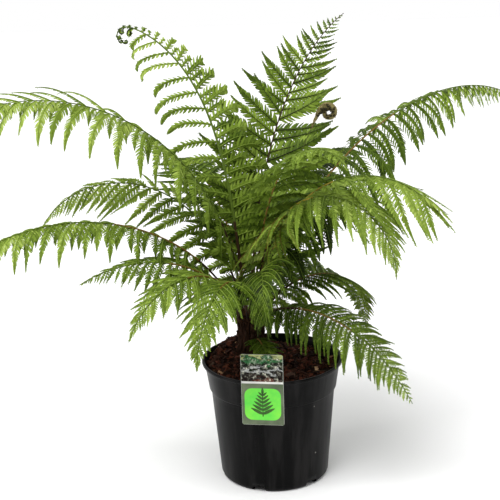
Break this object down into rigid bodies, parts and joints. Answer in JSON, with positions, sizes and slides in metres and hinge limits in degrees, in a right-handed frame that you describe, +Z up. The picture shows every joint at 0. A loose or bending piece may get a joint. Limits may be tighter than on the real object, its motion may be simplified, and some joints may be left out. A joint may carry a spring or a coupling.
{
  "type": "potted tree fern",
  "caption": "Young tree fern with arching, finely divided fronds and a short fibrous trunk, in bark compost in a round black nursery pot with a plain card label over the rim.",
  "frame": {"origin": "middle of the pot's flat underside", "axes": "+Z up, -Y towards the side with the label, which is the side the picture shows"},
  "size_m": [0.8616, 0.6068, 0.7113],
  "materials": {
    "pot": "glossy black moulded plastic",
    "soil": "rough dark bark compost",
    "trunk": "rough dark fibre",
    "label": "printed plastic card",
    "frond": "green leaf",
    "crozier": "brown-green scaly shoot"
  },
  "bodies": {
    "root": {"pot": "pot", "soil": "soil", "trunk": "trunk", "label": "label", "frond_back_left_base": "frond", "frond_back_left_tip": "frond", "frond_back_right_base": "frond", "frond_back_right_tip": "frond", "frond_crozier_base": "crozier", "frond_crozier_tip": "crozier", "frond_curled_left_base": "frond", "frond_curled_left_tip": "frond", "frond_front_left_base": "frond", "frond_front_left_tip": "frond", "frond_front_right_base": "frond", "frond_front_right_middle": "frond", "frond_front_right_tip": "frond", "frond_front_small_base": "frond", "frond_front_small_tip": "frond", "frond_left_back_base": "frond", "frond_left_back_tip": "frond", "frond_left_front_base": "frond", "frond_left_front_tip": "frond", "frond_left_low_base": "frond", "frond_left_low_tip": "frond", "frond_long_left_base": "frond", "frond_long_left_middle": "frond", "frond_long_left_tip": "frond", "frond_long_right_base": "frond", "frond_long_right_middle": "frond", "frond_long_right_tip": "frond", "frond_low_left_base": "frond", "frond_low_left_tip": "frond", "frond_right_arch_base": "frond", "frond_right_arch_tip": "frond", "frond_right_back_base": "frond", "frond_right_back_tip": "frond", "frond_right_low_back_base": "frond", "frond_right_low_back_tip": "frond", "frond_right_low_base": "frond", "frond_right_low_tip": "frond", "frond_soil_small": "frond", "frond_tall_back_base": "frond", "frond_tall_back_tip": "frond", "frond_upper_front_base": "frond", "frond_upper_front_tip": "frond"}
  },
  "joints": []
}
